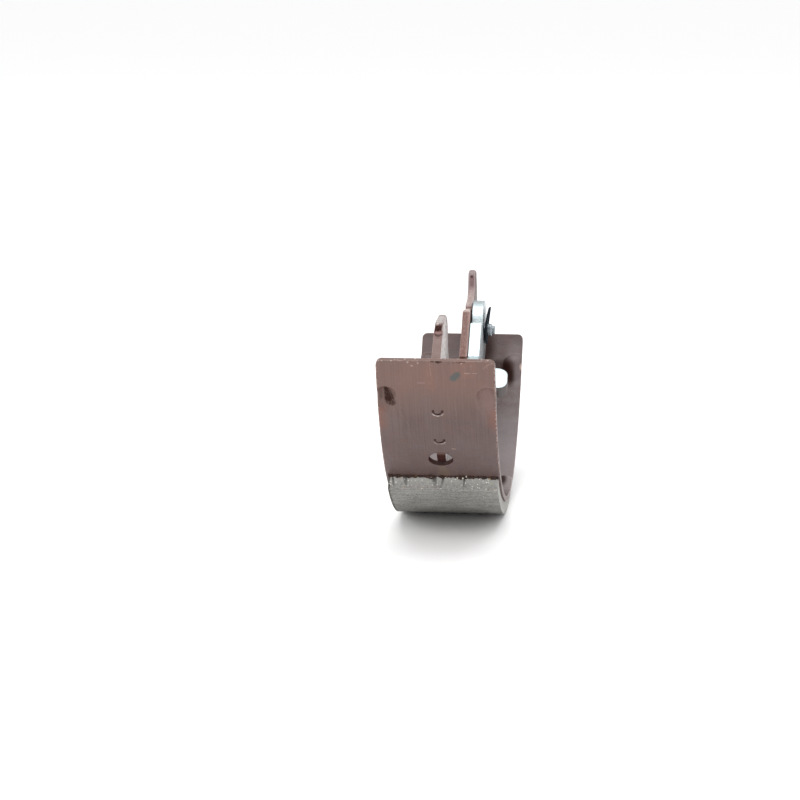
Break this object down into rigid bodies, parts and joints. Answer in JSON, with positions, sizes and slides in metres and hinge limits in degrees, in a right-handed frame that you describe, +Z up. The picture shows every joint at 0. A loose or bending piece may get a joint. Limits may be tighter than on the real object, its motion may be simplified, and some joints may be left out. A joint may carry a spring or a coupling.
{
  "type": "drum brake shoe",
  "caption": "Curved drum brake shoe with a bonded friction lining, a flat steel web and a hinged parking brake lever with a slotted cable hook.",
  "frame": {"origin": "centre of the hold-down hole, at the middle of the web's thickness", "axes": "+X along the drum's axis, out of the side that carries the parking lever; +Y from the anchor end to the wheel cylinder end; +Z up, away from the lining"},
  "size_m": [0.0412, 0.1758, 0.0803],
  "materials": {
    "rim": "thin worn brown primer over pressed steel",
    "lining": "ground grey-brown friction compound",
    "web": "thin brown primer with dark sheared edges",
    "pivot_pin": "zinc-plated turned steel",
    "parking_lever": "bright zinc plate",
    "spring_clip": "black phosphated spring steel"
  },
  "bodies": {
    "shoe": {"rim": "rim", "lining": "lining", "web": "web", "pivot_pin": "pivot_pin", "spring_clip": "spring_clip"},
    "lever": {"parking_lever": "parking_lever"}
  },
  "joints": [
    {"name": "lever_pivot", "type": "hinge", "parent": "shoe", "child": "lever", "pos_m": [0.00395, 0.05119, 0.03696], "axis": [-1, 0, 0], "range_deg": [0, 28]}
  ]
}
